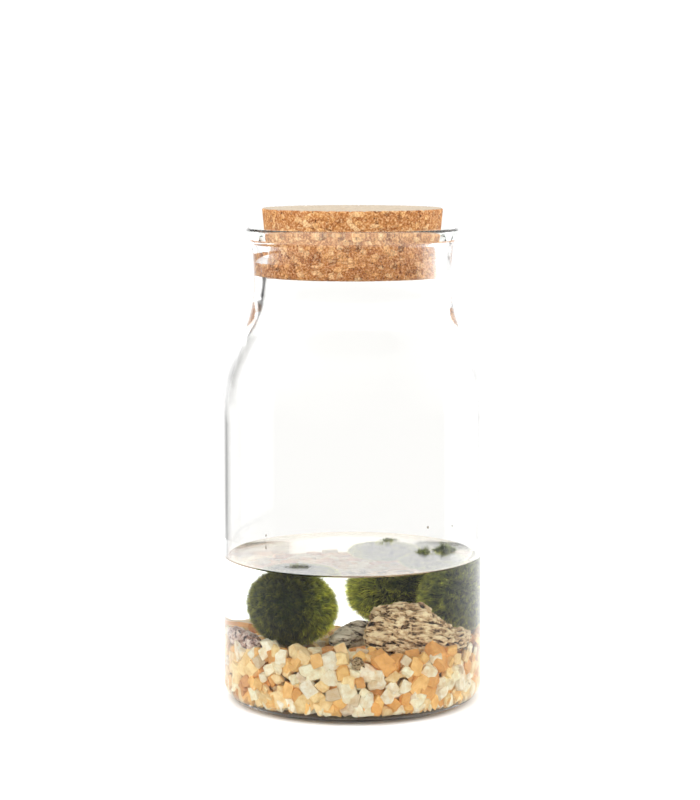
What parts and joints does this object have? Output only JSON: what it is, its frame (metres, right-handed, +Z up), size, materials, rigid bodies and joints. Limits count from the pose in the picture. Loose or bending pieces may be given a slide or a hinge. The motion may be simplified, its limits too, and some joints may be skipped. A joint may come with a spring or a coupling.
{
  "type": "marimo moss ball jar",
  "caption": "Corked clear glass jar with moss balls in shallow water, standing on pale gravel chips among small craggy rocks; a table-top water garden.",
  "frame": {"origin": "middle of the flat ring that the jar stands on", "axes": "+Z up along the jar; the pictured side faces -Y, with +X to its right"},
  "size_m": [0.12, 0.12, 0.227],
  "materials": {
    "glass": "clear blown glass with a very faint green tint at the rim and foot",
    "cork": "pressed cork granules with small pits, dry and matt",
    "water": "clear still water with a level surface",
    "gravel": "angular cream, yellow and ochre chips, wet",
    "moss": "dense dark green velvety algae filaments, wet",
    "rock_tan": "rough layered tan and dark brown stone, wet",
    "rock_grey": "rough stone with grey, white and near-black layers, wet",
    "rock_purple": "rough purple-grey and red-brown stone, wet"
  },
  "bodies": {
    "root": {"glass_jar": "glass", "cork_stopper": "cork", "water": "water", "gravel_bed": "gravel", "moss_ball_left": "moss", "moss_ball_middle": "moss", "moss_ball_right": "moss", "rock_large": "rock_tan", "rock_middle": "rock_grey", "rock_left": "rock_purple"}
  },
  "joints": []
}
